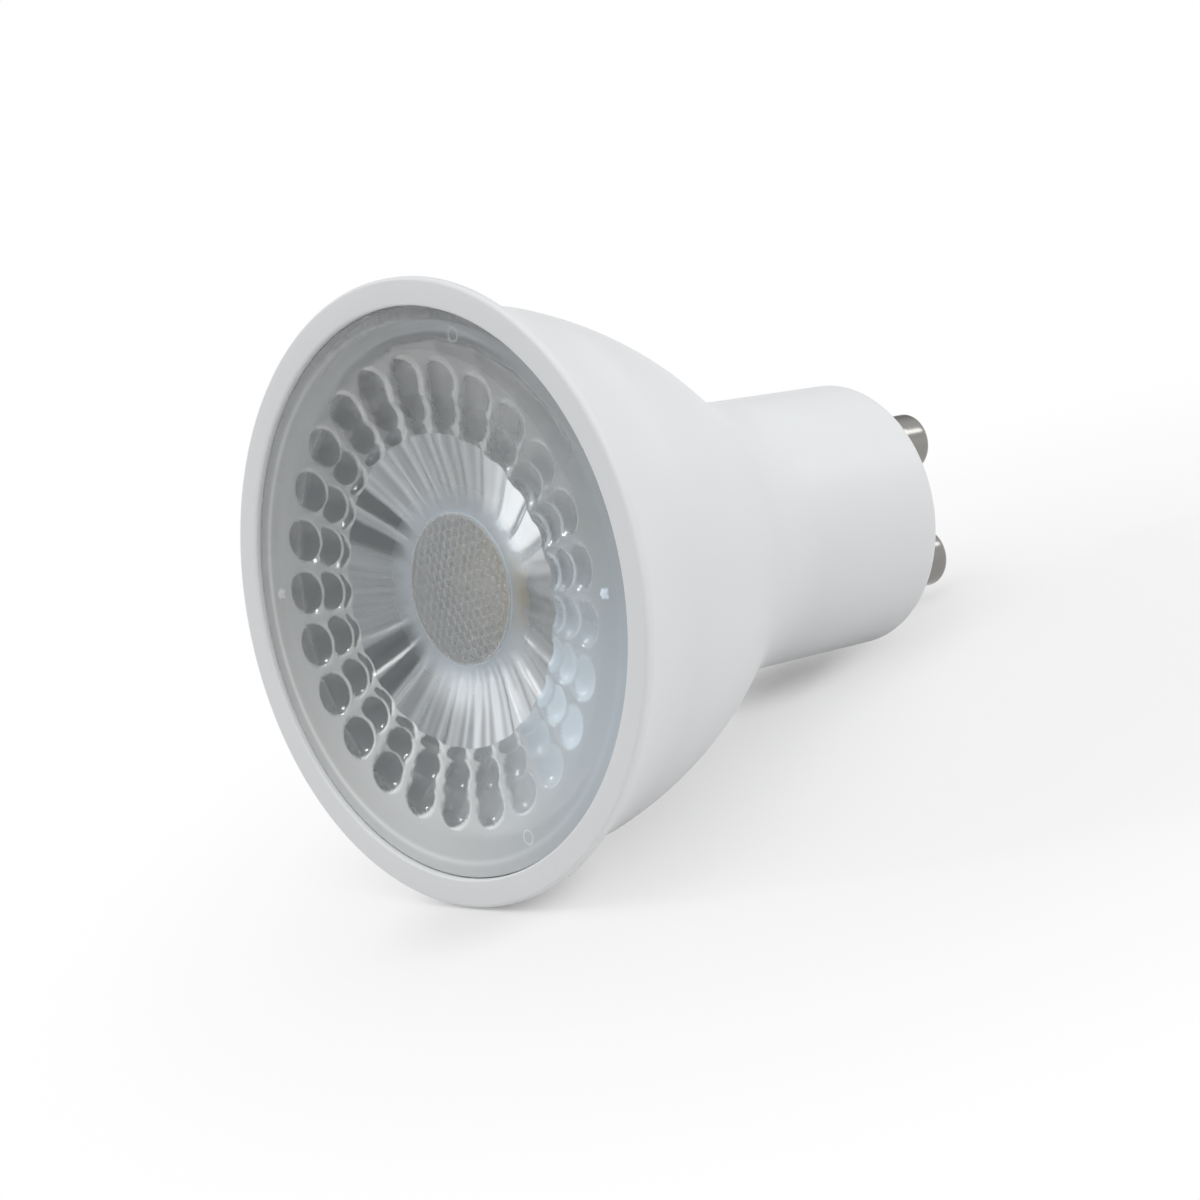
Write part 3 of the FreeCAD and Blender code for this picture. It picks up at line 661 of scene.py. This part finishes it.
# A painted glow in the band round the pad.
PAINTED_GLOW = (0.0, (277, 25, 0.55), (150, 20, 0.15), (180, 14, -0.15))
MIRROR = (0.0, (148, 22, 0.95), (236, 16, 0.4))
DISH_FROST = (0.13, (105, 40, 0.17), (175, 25, 0.15))

# Painted streaks of light as (strength, beats per rib, wander, wanders per turn).
STREAKS = ((0.45, 1.0, 1.4, 3), (0.3, 0.6, 2.0, 2), (0.25, 1.7, 3.0, 5))

# Clear ribs as (turn, half width) in degrees, the softness of their sides, and how clear they are.
CLEAR_RIBS = ((38, 4), (23, 5), (-27, 5), (-39, 4))
CLEAR_RIB_SOFT = 1.6
CLEARNESS = 0.85

# Fine rings: the ledge's line, the line at the pad's step, and the painted glow in the band round
# the pad.
LEDGE_WIDTH = 0.22 * MM
PAD_STEP_WIDTH = 0.12 * MM
PAD_STEP_HAZE = 0.3
GLOW_RADIUS = 8 * MM
GLOW_WIDTH = 1.7 * MM
BAND_HAZE = 0.4
# Painted cool light in the band round the pad.
BAND_PAINTED_COOL_LIGHT = 0.9
# Most that the dishes' milkiness and painted light may reach.
MOST_MILK_AND_PAINTED_LIGHT = 0.9
NUB_FOOT = 0.02 * MM


def turned_off(turn, degrees):
    """How far a turn is from another, the short way round."""
    return (turn - math.radians(degrees) + math.pi) % (2 * math.pi) - math.pi


def bell_curve(off, width):
    """exp(-(off / width) ** 2)."""
    return np.exp(-(off / width) ** 2)


def lobes(turn, table):
    """A table's level plus the sum over its lobes of strength * bell curve of the turn off."""
    level, *rows = table
    return level + sum(strength * bell_curve(turned_off(turn, middle), math.radians(width))
                       for middle, width, strength in rows)


def dish_tones(s, radius, turn):
    """How far a point is inside a dish, and how far on the lit edge of one, where a highlight is
    painted.
    Each dish is an ellipse, and its lit edge is what is left of it outside the same ellipse moved
    away from the lit side. At top and bottom a throat joins a petal's dishes, and the whole petal has
    one such edge."""
    along, aside = in_petal(s, radius, turn)
    width = s.lit_width / MM * lobes(turn, LIT_WIDTH)
    middle = turn - off_petal(s, turn)
    outer_side = s.lit_side + lobes(turn, LIT_TURN) - middle
    near_side = math.pi - middle

    def within(dish, side=0.0, shift=0.0):
        circle, half_length, half_width = dish
        out = along / MM - circle + shift * np.cos(side)
        over = aside / MM + shift * np.sin(side)
        return np.clip((1 - np.hypot(out / half_length, over / half_width)) / DISH_SOFT, 0, 1)

    dark = lit = np.zeros(radius.shape)
    for dish in DISHES:
        inside = within(dish)
        edge = inside * (1 - within(dish, outer_side if dish is DISHES[0] else near_side, width))
        dark, lit = np.maximum(dark, inside - edge), np.maximum(lit, edge)
    side = (outer_side + near_side) / 2
    petal = np.max([within(dish) for dish in (*DISHES, THROAT)], axis=0)
    moved = np.max([within(dish, side, JOINED_WIDTH * width) for dish in (*DISHES, THROAT)], axis=0)
    joined = np.minimum(lobes(turn, JOINED), 1)
    lit = lit + joined * (petal * (1 - moved) - lit)
    dark = dark + joined * (petal - dark)
    return dark * (1 - lit), lit


def streaked(s, turn):
    """Painted streaks of light for the cone's ribs, seen through the well's wall: cosines that wander
    with the turn, summed.
    """
    beat = 2 * s.petals * turn
    return sum(strength * np.cos(rate * beat + wander * np.sin(times * turn))
               for strength, rate, wander, times in STREAKS)


def lens_paint(s, radius, turn, sunk):
    """How rough (frost), milky and lit with painted light (haze), silvery, mirror-like and tinted
    with painted cool light (sky) the lens's front is. The plate is satin, with painted light that is
    stronger low down and on the near side and weaker at the top. The dishes are clear with a painted
    highlight on one lit edge, and those low on the near side carry painted light. The well's wall has
    painted streaks of light, strongest in two lobes, and four clear ribs on the far side. A band of
    painted cool light with a painted glow runs round the pad, and the ledge behind the plate shows as
    a line."""
    pad = radius < s.pad_radius
    outside = radius > s.well_mouth
    band = (radius > s.pad_radius) & (radius < s.well_mouth)
    rise = np.clip((radius - s.pad_radius) / s.band_width, 0, 1) * (radius < s.well_mouth)
    dark, lit = dish_tones(s, radius, turn)
    # The dishes' milkiness and their painted light.
    milk_and_painted_light = lobes(turn, DISH_MILK_AND_PAINTED_LIGHT)
    # The plate's satin, raised by the painted highlight on the dishes' lit edges and by the plate's
    # painted light.
    satin = s.haze * (1 + lit * lobes(turn, LIT)) * lobes(turn, PLATE_PAINTED_LIGHT)
    plate = outside * (satin + dark * (np.minimum(milk_and_painted_light, MOST_MILK_AND_PAINTED_LIGHT) - satin))
    nub = (sunk < -NUB_FOOT) * lobes(turn, NUB)
    ledge = bell_curve(radius - s.ledge_line, LEDGE_WIDTH) * lobes(turn, LEDGE)
    step = PAD_STEP_HAZE * bell_curve(radius - s.pad_radius, PAD_STEP_WIDTH)
    ribs = ((half, np.degrees(np.abs(turned_off(turn, middle)))) for middle, half in CLEAR_RIBS)
    clear = sum(np.clip((half - off) / CLEAR_RIB_SOFT + 0.5, 0, 1) for half, off in ribs)
    # Painted shine on the well's wall, streaked.
    shine = lobes(turn, PAINTED_SHINE) * (1 + lobes(turn, CONTRAST) * streaked(s, turn))
    # A painted glow in the band round the pad.
    glow = bell_curve(radius - GLOW_RADIUS, GLOW_WIDTH) * lobes(turn, PAINTED_GLOW)
    wall = band * ((1 - rise) * BAND_HAZE + rise * (1 - CLEARNESS * clear) * shine + glow)
    # Painted cool light on the plate's near side, and in the dishes as far as they carry painted
    # light.
    cool = np.minimum(lobes(turn, PLATE_PAINTED_COOL_LIGHT) + (milk_and_painted_light - DISH_MILK_AND_PAINTED_LIGHT[0]) * dark, 1)
    return {
        "frost": s.edge_frost * band * (1 - 0.5 * rise) + dark * outside * lobes(turn, DISH_FROST),
        # Milkiness, plus the painted light of the plate, the dishes and the well's wall.
        "haze": np.clip(plate + wall + nub + step + ledge + s.pad_haze * pad, 0, 1),
        "silver": band,
        "mirror": band * rise * (1 - clear) * lobes(turn, MIRROR),
        "sky": outside * cool + BAND_PAINTED_COOL_LIGHT * band * (1 - rise),
    }


# Rings of the lens's front, as (first radius, last radius, count) in mm: well, petals and plate.
# Those of the pad and the edge follow the lens's sizes.
FRONT_ROWS = ((7.6, 12.1, 20), (12.2, 19.3, 52), (19.45, 20.65, 13))
POINTS_PER_PETAL = 20
LAST_DOME_RING = 0.6 * MM


def lens_rings(s, turns):
    """Rings of points over the lens's front, round its edge, down the faceted cone behind and up
    into the cavity. A facet is flat across: its radius is the corner's times cos(half pitch) /
    cos(turn off the facet's middle)."""
    turn = (2 * math.pi * np.arange(turns) / turns)[None, :]
    pad, rim = s.pad_radius / MM, s.radius / MM
    radii = np.concatenate((
        np.linspace(0.15, pad - 0.06, 42),
        [pad - 0.02, pad + 0.02],
        np.linspace(pad + 0.1, 7.5, 6),
        *(np.linspace(*row) for row in FRONT_ROWS),
        np.linspace(20.8, rim - 0.12, 12),
        [rim - 0.05],
    ))[:, None] * MM
    front_radius, front_turn = np.broadcast_arrays(radii, turn)
    sunk = lens_front(s, front_radius, front_turn)
    front = lamp_points(front_radius, front_turn, s.recess + sunk)
    back_depth = s.recess + s.plate
    edge = np.array(((s.radius, s.recess + s.edge_round), (s.radius, back_depth - s.edge_round),
                     (s.radius - s.edge_round, back_depth), (s.shoulder + s.fillet_gap, back_depth)))
    edge_rings = lamp_points(edge[:, :1], turn, edge[:, 1:])
    facet = math.cos(math.pi / s.petals) / np.cos(off_petal(s, turn))
    foot = (s.foot_radius, s.foot_depth)
    cone = bulged((s.shoulder, back_depth), foot, s.cone_bulge, count=22)
    fillet = rounded_corner(edge[-1], cone[0], cone[1], s.fillet, count=6)
    cone = np.vstack((fillet, cone[2:]))
    cone_rings = lamp_points(cone[:, :1] * facet, turn, cone[:, 1:])
    pad_top = s.recess + s.well_depth - s.pad_rise
    roof = pad_top + s.cavity_roof
    ball = (s.cavity_top ** 2 + s.cavity_dome ** 2) / (2 * s.cavity_dome)
    dome_radius = np.linspace(s.cavity_top, LAST_DOME_RING, 8)
    dome_depth = roof + ball - np.sqrt(ball ** 2 - dome_radius ** 2)
    cavity = run((s.cavity_radius, s.foot_depth), np.column_stack((dome_radius, dome_depth)))
    cavity = np.vstack((np.linspace(cavity[0], cavity[1], 6)[:-1], cavity[1:]))
    cavity_rings = lamp_points(cavity[:, :1], turn, cavity[:, 1:])
    rings = np.vstack((front, edge_rings, cone_rings, cavity_rings))
    middle = s.recess + lens_front(s, np.zeros(1), np.zeros(1))[0]
    poles = lamp_points(0.0, 0.0, np.array((middle, roof)))
    paint = {}
    for key, values in lens_paint(s, front_radius, front_turn, sunk).items():
        paint[key] = np.zeros(rings.shape[:2])
        paint[key][:len(front)] = values
    paint["frost"][len(front):] = s.edge_frost
    paint["frost"][-len(cone_rings) - len(cavity_rings):] = s.cone_frost
    paint["frost"][-len(cavity_rings):] = s.cavity_frost
    return rings, poles, paint


# Ejector marks as (radius in mm, turn in degrees), half the width of their line, and its soft edge.
EJECTOR_MARKS = ((21.0, 106.0), (20.6, -112.0))
MARK_LINE = 0.06 * MM
MARK_SOFT = 0.04 * MM
MARK_HAZE = 0.25

# How far inside the pad's edge the bump's beads end, and its soft edge.
BEAD_MARGIN = 0.2 * MM
BEAD_SOFT = 0.1 * MM


class BULB_OT_lens(bpy.types.Operator):
    """Clear lens with dished petals, fluted well and faceted cone"""
    bl_idname = "bulb.lens"
    bl_label = "Lens"

    def marks(self, lens, place):
        """Two faint rings that the mould's ejectors leave on the plate."""
        rings = []
        for radius, degrees in EJECTOR_MARKS:
            away = place.distance(lamp_points(radius * MM, math.radians(degrees), lens.recess))
            rings.append(away.below(lens.mark_radius + MARK_LINE, MARK_SOFT)
                         - away.below(lens.mark_radius - MARK_LINE, MARK_SOFT))
        return MARK_HAZE * (rings[0] + rings[1])

    def beads(self, lens, place):
        """The pad's beads once more, as bump: the same three cosines, kept inside the pad's edge."""
        across, upward = place.along(ACROSS), place.along(UPWARD)
        wave = bead_wave(lens)
        waves = [(wave * math.cos(turn) * across + wave * math.sin(turn) * upward).math("COSINE")
                 for turn in BEAD_TURNS]
        off_axis = (across * across + upward * upward).math("SQRT")
        on_pad = off_axis.below(lens.pad_radius - BEAD_MARGIN, BEAD_SOFT)
        return on_pad * (waves[0] + waves[1] + waves[2])

    def execute(self, context):
        lens, colours = context.scene.bulb.lens, context.scene.bulb.finishes
        rings, poles, paint = lens_rings(lens, POINTS_PER_PETAL * lens.petals)
        piece = closed_rings("lens_optic", rings, *poles, sharp_degrees=40.0, paint=paint)
        finish = Surface("clear_moulding", Transmission_Weight=1.0, IOR=1.49)
        cloud = finish.noise(scale=300.0, detail=2.0)
        place = finish.place()
        frost, mirror, silver = (finish.painted(name) for name in ("frost", "mirror", "silver"))
        finish.vary(cloud, colours.lens, 0.985, 1.0)
        finish.feed("Roughness", 0.015 + 0.02 * cloud + frost)
        bare = 1 - frost.math("GREATER_THAN", frost, 0.01)
        finish.bump(bare * self.beads(lens, place), distance=0.055 * MM)
        tint = mix_colour(silver, colours.satin, colours.ribs)
        # The veil's tint turns to the painted cool light where sky is painted.
        tint = mix_colour(finish.painted("sky"), tint, colours.sky)
        # The veil's share: milkiness and painted light, plus the ejector marks.
        milk_and_painted_light = finish.painted("haze") + self.marks(lens, place)
        finish.veil(milk_and_painted_light, "ShaderNodeBsdfPrincipled", {
            "Base Color": tint,
            "Roughness": 0.4 - 0.22 * mirror,
            "Metallic": 0.16 * silver + 0.8 * mirror,
        })
        dress(piece, finish)
        settle(piece, "lens")
        return {"FINISHED"}


# Pins
def pin_profile(s, cap_depth, cap_inside):
    """A pin's half section from the tip of its head to the stub inside the cap."""
    tip = cap_depth + s.reach
    back = tip - s.head_length
    collar_front = cap_inside - s.collar
    stub_end = collar_front - s.stub
    return run(
        (0, tip),
        rounded_corner((0, tip), (s.head_radius, tip), (s.head_radius, back), s.head_round, 10),
        rounded_corner((s.head_radius, tip), (s.head_radius, back), (s.neck_radius, back),
                       s.shoulder_round, 6),
        (s.neck_radius, back),
        (s.neck_radius, cap_inside),
        (s.collar_radius, cap_inside),
        (s.collar_radius, collar_front),
        (s.stub_radius, collar_front),
        (s.stub_radius, stub_end),
        (0, stub_end),
    )


class BULB_OT_pins(bpy.types.Operator):
    """Two nickel-plated contact pins"""
    bl_idname = "bulb.pins"
    bl_label = "Contact pins"

    def execute(self, context):
        settings = context.scene.bulb
        s = settings.pins
        cap_depth = settings.housing.cap_depth
        profile = pin_profile(s, cap_depth, cap_depth - settings.housing.cap_wall)
        profile = densified(profile, step=0.4 * MM)
        finish = Surface("satin_nickel", Metallic=1.0)
        brush = finish.noise(scale=900.0, detail=3.0, stretch=(1.0, 0.12, 1.0))
        finish.vary(brush, settings.finishes.nickel, 0.88, 1.1)
        finish.feed("Roughness", 0.13 + 0.1 * brush)
        finish.bump(brush, distance=0.01 * MM, strength=0.3)
        for node, half_turn in (("contact_pin_left", 0.0), ("contact_pin_right", math.pi)):
            turn = s.turn + half_turn
            aside = s.spacing / 2 * (math.cos(turn) * ACROSS + math.sin(turn) * UPWARD)
            piece = turned(node.replace("contact_", "plated_"), profile, turns=96, shift=aside)
            dress(piece, finish)
            settle(piece, node)
        return {"FINISHED"}


# Inner parts keep their CAD form. A finish has a colour (the settings hold the cup's), a roughness,
# a metal share and the parts that wear it.
INNER_FINISHES = {
    "cup": (None, 0.42, 1.0, "heat_sink_cup"),
    "board_mask": ((0.78, 0.78, 0.76), 0.45, 0.0, "led_board"),
    "zinc": ((0.6, 0.6, 0.6), 0.35, 1.0, "led_board_screws"),
    "carrier_ceramic": ((0.85, 0.85, 0.83), 0.55, 0.0, "led_carrier"),
    "dam_silicone": ((0.86, 0.86, 0.84), 0.5, 0.0, "led_dam"),
    "phosphor": ((0.82, 0.6, 0.22), 0.5, 0.0, "led_phosphor"),
    "copper_lead": ((0.72, 0.4, 0.22), 0.35, 1.0, "pin_wire_left", "pin_wire_right",
                    "inductor_winding"),
    "laminate": ((0.1, 0.32, 0.16), 0.5, 0.0, "driver_board"),
    "sleeve": ((0.05, 0.05, 0.06), 0.35, 0.0, "input_capacitor", "output_capacitor"),
    "film_case": ((0.75, 0.6, 0.12), 0.4, 0.0, "film_capacitor"),
    "ferrite_body": ((0.12, 0.12, 0.12), 0.6, 0.0, "inductor_core"),
    "epoxy": ((0.06, 0.06, 0.06), 0.5, 0.0, "driver_chip", "bridge_rectifier"),
    "resistor_coat": ((0.35, 0.42, 0.45), 0.5, 0.0, "sense_resistors", "fusible_resistor"),
    "red_sleeve": ((0.32, 0.05, 0.04), 0.45, 0.0, "led_wire_positive"),
    "black_sleeve": ((0.05, 0.05, 0.05), 0.45, 0.0, "led_wire_negative"),
}


class BULB_OT_inner_parts(bpy.types.Operator):
    """Finishes for the heat sink cup, the LED and the driver inside"""
    bl_idname = "bulb.inner_parts"
    bl_label = "Inner parts"

    def execute(self, context):
        for name, (rgb, rough, metal, *nodes) in INNER_FINISHES.items():
            base = rgb or context.scene.bulb.finishes.cup
            finish = Surface(name, Metallic=metal)
            cloud = finish.noise(scale=700.0, detail=4.0)
            finish.vary(cloud, base, 0.9, 1.08)
            finish.feed("Roughness", rough - 0.06 + 0.14 * cloud)
            finish.bump(cloud, distance=0.02 * MM, strength=0.3)
            for node in nodes:
                dress(frame["nodes"][node], finish)
        return {"FINISHED"}


# Stage
CAMERA_PLACE = Vector((256.8294, -236.5067, 106.3609)) * MM
CAMERA_RIGHT = Vector((0.656981, 0.677011, -0.331711))
CAMERA_UP = Vector((0.0, 0.43999, 0.898003))
CAMERA_BACK = Vector((0.753907, -0.58997, 0.289065))
CAMERA_LENS = 126.0
SENSOR_WIDTH = 36.0

# Lamps as (name, place, size, watts), all aimed at one place.
LAMPS = (
    ("softbox", (0.05, -0.1, 0.6), 0.4, 0.7),
    ("glint", (-0.45, -0.23, 0.34), 0.07, 0.35),
    ("back_light", (0.3, 0.47, 0.21), 0.15, 0.2),
)
LAMP_AIM = Vector((0.0, -0.04, 0.0))

# The room's glow: a level, rises as (direction, share), a dark spot as (direction, share, power).
ROOM_LEVEL = 0.61
ROOM_RISES = (((0.0, 0.0, 1.0), 0.29), ((0.35, 0.94, 0.0), 0.29))
DARK_SPOT = ((-0.6, 0.76, 0.25), 0.5, 8.0)
ROOM_COLOUR = (0.985, 0.995, 1.0)
BRIGHTEST = 1.2

# Half the floor's width, and where the floor keeps its shadow: round the lamp, as (place, reach,
# softness), by a share that grows in two spots, under the neck and where the rim touches.
FLOOR_HALF = 1.5
ROUND_LAMP = ((0.018, -0.025, FLOOR_LEVEL), 0.05, 0.032)
SHADOW_SHARE = 0.45
SHADOW_SPOTS = (((-0.004, -0.018, FLOOR_LEVEL), 0.005, 0.0045, 0.44),
                ((0.001, -0.0585, FLOOR_LEVEL), 0.006, 0.005, 0.5))


def seen_directly(tree):
    """1 for what the camera sees, straight, mirrored or through the lens, and 0 for light that falls
    on surfaces."""
    camera, glossy, through = (grow(tree, "ShaderNodeLightPath", output=f"Is {kind} Ray")
                               for kind in ("Camera", "Glossy", "Transmission"))
    return camera.math("MAXIMUM", camera.math("MAXIMUM", camera, glossy), through)


class BULB_OT_stage(bpy.types.Operator):
    """Pale floor, soft light and the camera"""
    bl_idname = "bulb.stage"
    bl_label = "Stage"

    def execute(self, context):
        scene = context.scene
        self.floor(scene.bulb.finishes.floor)
        self.world(scene)
        self.lamps(scene)
        self.camera(scene)
        scene.view_settings.view_transform = "Standard"
        return {"FINISHED"}

    def floor(self, rgb):
        """A wide flat floor that keeps the shadow near the lamp and fades to white further out."""
        corners = FLOOR_HALF * np.array(((-1, -1), (1, -1), (1, 1), (-1, 1)))
        points = np.column_stack((corners, np.full(4, FLOOR_LEVEL)))
        piece = add_mesh("floor", points, [(0, 1, 2, 3)])
        finish = Surface("pale_floor", Base_Color=(*rgb, 1.0), Roughness=0.9,
                         Specular_IOR_Level=0.1)
        place = finish.place()
        middle, reach, soft = ROUND_LAMP
        near = place.distance(middle).below(reach, soft)
        shadow = SHADOW_SHARE
        for middle, reach, soft, strength in SHADOW_SPOTS:
            shadow = shadow + strength * place.distance(middle).below(reach, soft)
        finish.veil((1 - near * shadow) * seen_directly(finish.tree), "ShaderNodeEmission",
                    {"Color": (1.0, 1.0, 1.0, 1.0), "Strength": 1.0})
        dress(piece, finish)

    def world(self, scene):
        """A light room: its glow is a plain level plus shares of how far a direction points up and
        behind the lamp, less a dark spot on the far side."""
        world = bpy.data.worlds.new("light_room")
        world.use_nodes = True
        tree = world.node_tree
        direction = grow(tree, "ShaderNodeTexCoord", output="Generated")
        glow = ROOM_LEVEL
        for side, strength in ROOM_RISES:
            glow = glow + strength * direction.along(side)
        side, strength, power = DARK_SPOT
        shaded = direction.along(side)
        glow = glow - strength * shaded.math("MAXIMUM", shaded, 0.0) ** power
        sky = mix_colour(glow / BRIGHTEST, (0.0, 0.0, 0.0), ROOM_COLOUR)
        background = tree.nodes["Background"]
        tree.links.new(sky.socket, background.inputs["Color"])
        background.inputs["Strength"].default_value = BRIGHTEST
        scene.world = world

    def lamps(self, scene):
        """A wide soft lamp overhead, a small one on the far side that glints in the petals, and a
        small one behind that glints on the pins."""
        for name, place, size, watts in LAMPS:
            light = bpy.data.lights.new(name, "AREA")
            light.size = size
            light.energy = watts
            lamp = bpy.data.objects.new(name, light)
            scene.collection.objects.link(lamp)
            lamp.location = place
            lamp.rotation_euler = (LAMP_AIM - lamp.location).to_track_quat("-Z", "Y").to_euler()

    def camera(self, scene):
        """The photograph's view: a long lens, a little above the table and rolled."""
        data = bpy.data.cameras.new("view")
        data.sensor_width = SENSOR_WIDTH
        data.lens = CAMERA_LENS
        data.clip_start = 0.01
        camera = bpy.data.objects.new("view", data)
        scene.collection.objects.link(camera)
        turn = Matrix((CAMERA_RIGHT, CAMERA_UP, CAMERA_BACK)).transposed()
        camera.matrix_world = Matrix.Translation(CAMERA_PLACE) @ turn.to_4x4()
        scene.camera = camera


class BULB_PT_panel(bpy.types.Panel):
    """Buttons that build the bulb's pieces"""
    bl_idname = "BULB_PT_panel"
    bl_label = "Spotlight bulb"
    bl_space_type = "VIEW_3D"
    bl_region_type = "UI"
    bl_category = "Bulb"

    def draw(self, context):
        for operator in OPERATORS:
            self.layout.operator(operator.bl_idname)


OPERATORS = (BULB_OT_housing, BULB_OT_lens, BULB_OT_pins, BULB_OT_inner_parts, BULB_OT_stage)
CLASSES = (HousingSizes, LensSizes, PinSizes, Finishes, BulbSettings, *OPERATORS, BULB_PT_panel)


def register():
    for cls in CLASSES:
        bpy.utils.register_class(cls)
    bpy.types.Scene.bulb = PointerProperty(type=BulbSettings)


def unregister():
    del bpy.types.Scene.bulb
    for cls in reversed(CLASSES):
        bpy.utils.unregister_class(cls)


def main():
    """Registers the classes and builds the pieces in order."""
    register()
    bpy.ops.bulb.housing()
    bpy.ops.bulb.lens()
    bpy.ops.bulb.pins()
    bpy.ops.bulb.inner_parts()
    bpy.ops.bulb.stage()


if __name__ == "__main__":
    main()
